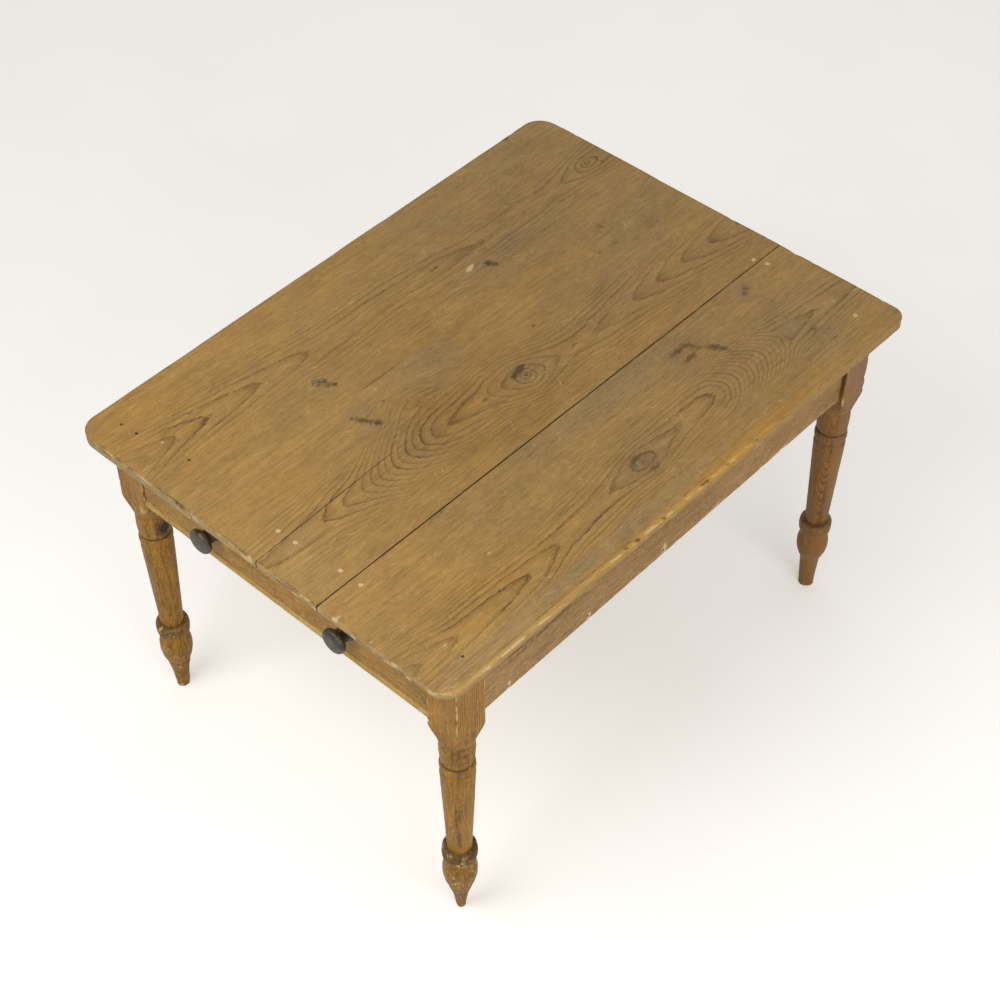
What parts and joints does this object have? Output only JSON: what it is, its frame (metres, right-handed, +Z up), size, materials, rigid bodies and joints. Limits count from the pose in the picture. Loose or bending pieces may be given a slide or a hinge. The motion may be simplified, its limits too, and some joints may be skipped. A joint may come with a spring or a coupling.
{
  "type": "kitchen table",
  "caption": "Old pine kitchen table: nailed board top with rounded corners, turned legs with square blocks, plain rails and an end drawer on runners with turned dark knobs.",
  "frame": {"origin": "on the floor under the middle of the top", "axes": "+Z up, +Y from the drawer end to the back end along the grain of the top, +X to the right of someone facing the drawer"},
  "size_m": [0.9093, 1.225, 0.735],
  "materials": {
    "top_pine": "old waxed pine, worn satin",
    "leg_pine": "old waxed pine with grime in the turnings",
    "rail_pine": "old waxed pine, greyed",
    "drawer_front_pine": "old waxed pine, golden",
    "drawer_lining": "bare pine, dry",
    "strip_pine": "bare pine, dry",
    "knob_dark": "dark stained, worn sheen",
    "nail_iron": "dark, dull",
    "filler": "pale wood filler, matt"
  },
  "bodies": {
    "table": {"top_board_left": "top_pine", "top_board_middle": "top_pine", "top_board_right": "top_pine", "leg_front_left": "leg_pine", "leg_front_right": "leg_pine", "leg_back_left": "leg_pine", "leg_back_right": "leg_pine", "back_rail": "rail_pine", "front_top_rail": "rail_pine", "front_bottom_rail": "rail_pine", "side_rail_left": "rail_pine", "side_rail_right": "rail_pine", "drawer_runner_left": "strip_pine", "drawer_runner_right": "strip_pine", "drawer_guide_left": "strip_pine", "drawer_guide_right": "strip_pine", "kicker_left": "strip_pine", "kicker_right": "strip_pine", "drawer_stop_left": "strip_pine", "drawer_stop_right": "strip_pine", "top_nails": "nail_iron", "nail_hole_fillings": "filler", "runner_nails": "nail_iron", "guide_nails": "nail_iron"},
    "drawer": {"drawer_front": "drawer_front_pine", "drawer_back": "drawer_lining", "drawer_side_left": "drawer_lining", "drawer_side_right": "drawer_lining", "drawer_bottom_board_front": "drawer_lining", "drawer_bottom_board_middle": "drawer_lining", "drawer_bottom_board_back": "drawer_lining", "drawer_bottom_nails": "nail_iron", "drawer_knob_left": "knob_dark", "drawer_knob_right": "knob_dark"}
  },
  "joints": [
    {"name": "drawer_slide", "type": "slide", "parent": "table", "child": "drawer", "axis": [0, -1, 0], "range_m": [0, 0.42]}
  ]
}
